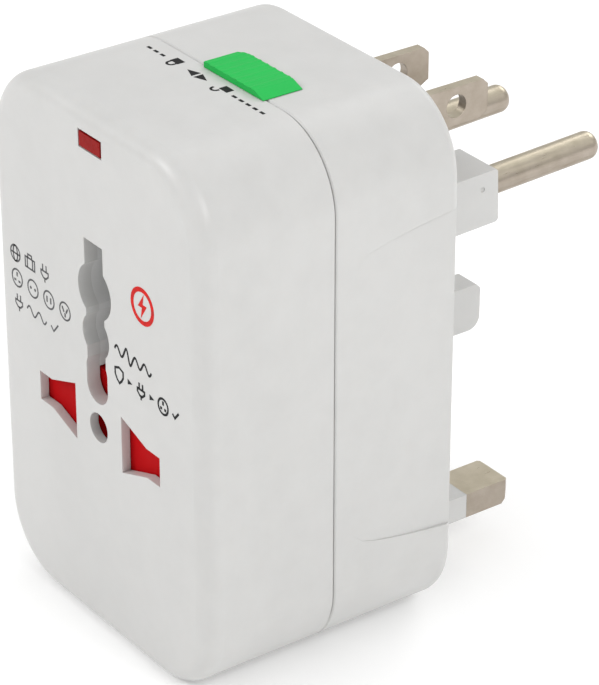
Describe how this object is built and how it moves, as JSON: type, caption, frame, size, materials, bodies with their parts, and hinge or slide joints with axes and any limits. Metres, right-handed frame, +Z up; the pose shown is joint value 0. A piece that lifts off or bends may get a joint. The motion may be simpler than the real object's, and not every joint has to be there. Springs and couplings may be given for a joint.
{
  "type": "universal travel adapter",
  "caption": "Universal travel adapter: a multi-standard socket unit latched onto a plug unit with folding, sliding and twisting wall pins.",
  "frame": {"origin": "middle of the rear face, where the adapter meets the wall", "axes": "+Y towards the wall, the way the pins point; +Z up; +X to the right for someone facing the sockets"},
  "size_m": [0.0486, 0.0748, 0.0773],
  "materials": {
    "casing_white": "satin",
    "inner_white": "matte",
    "nickel_plate": "satin nickel plate",
    "bare_brass": "bare",
    "spring_steel": "bright",
    "shutter_red": "satin",
    "lens_red": "clear tinted",
    "lamp_glass": "clear tinted",
    "board_green": "satin",
    "varistor_blue": "satin",
    "component_tan": "matte",
    "lock_green": "satin"
  },
  "bodies": {
    "plug_unit": {"rear_cover": "casing_white", "inner_chassis": "inner_white", "rear_screws": "spring_steel", "eu_cradle": "inner_white", "bus_bar_neutral": "bare_brass", "bus_bar_live": "bare_brass", "link_pin_neutral": "bare_brass", "link_pin_live": "bare_brass"},
    "socket_unit": {"front_cover": "casing_white", "front_back_plate": "inner_white", "front_screws": "spring_steel", "socket_block": "inner_white", "shutter_spring_left": "spring_steel", "shutter_spring_right": "spring_steel", "contact_neutral": "bare_brass", "contact_live": "bare_brass", "link_socket_neutral": "bare_brass", "link_socket_live": "bare_brass", "indicator_lens": "lens_red", "indicator_lamp": "lamp_glass", "indicator_board": "board_green", "surge_board": "board_green", "varistor": "varistor_blue", "thermal_fuse": "component_tan", "resistor": "component_tan"},
    "safety_shutter": {"shutter": "shutter_red"},
    "lock": {"lock_slider": "lock_green", "lock_clip": "spring_steel"},
    "eu_plug": {"eu_block_left": "casing_white", "eu_block_right": "casing_white", "eu_pin_left": "nickel_plate", "eu_pin_right": "nickel_plate", "eu_axle": "spring_steel"},
    "us_plug": {"us_carriage": "inner_white", "us_retainer": "spring_steel"},
    "us_pin_left": {"us_turret_left": "casing_white", "us_blade_left": "nickel_plate"},
    "us_pin_right": {"us_turret_right": "casing_white", "us_blade_right": "nickel_plate"},
    "uk_plug": {"uk_carriage": "inner_white", "uk_pin_neutral": "nickel_plate", "uk_pin_live": "nickel_plate", "uk_sleeve_neutral": "casing_white", "uk_sleeve_live": "casing_white", "uk_pin_earth": "casing_white"}
  },
  "joints": [
    {"name": "unit_release", "type": "slide", "parent": "plug_unit", "child": "socket_unit", "axis": [0, -1, 0], "range_m": [0, 0.035]},
    {"name": "shutter_drop", "type": "slide", "parent": "socket_unit", "child": "safety_shutter", "axis": [0, 0, -1], "range_m": [0, 0.0116], "stiffness_N_per_m": 60, "springref_m": -0.01, "deforming": ["shutter_spring_left", "shutter_spring_right"]},
    {"name": "lock_slide", "type": "slide", "parent": "plug_unit", "child": "lock", "axis": [-1, 0, 0], "range_m": [0, 0.004]},
    {"name": "eu_fold", "type": "hinge", "parent": "plug_unit", "child": "eu_plug", "pos_m": [0, -0.0045, 0.0159], "axis": [-1, 0, 0], "range_deg": [0, 92]},
    {"name": "us_slide", "type": "slide", "parent": "plug_unit", "child": "us_plug", "axis": [0, -1, 0], "range_m": [0, 0.0182]},
    {"name": "us_twist_left", "type": "hinge", "parent": "us_plug", "child": "us_pin_left", "pos_m": [-0.00635, 0, 0.0277], "axis": [0, 1, 0], "range_deg": [0, 30]},
    {"name": "us_twist_right", "type": "hinge", "parent": "us_plug", "child": "us_pin_right", "pos_m": [0.00635, 0, 0.0277], "axis": [0, -1, 0], "range_deg": [0, 30]},
    {"name": "uk_slide", "type": "slide", "parent": "plug_unit", "child": "uk_plug", "axis": [0, -1, 0], "range_m": [0, 0.02]}
  ]
}
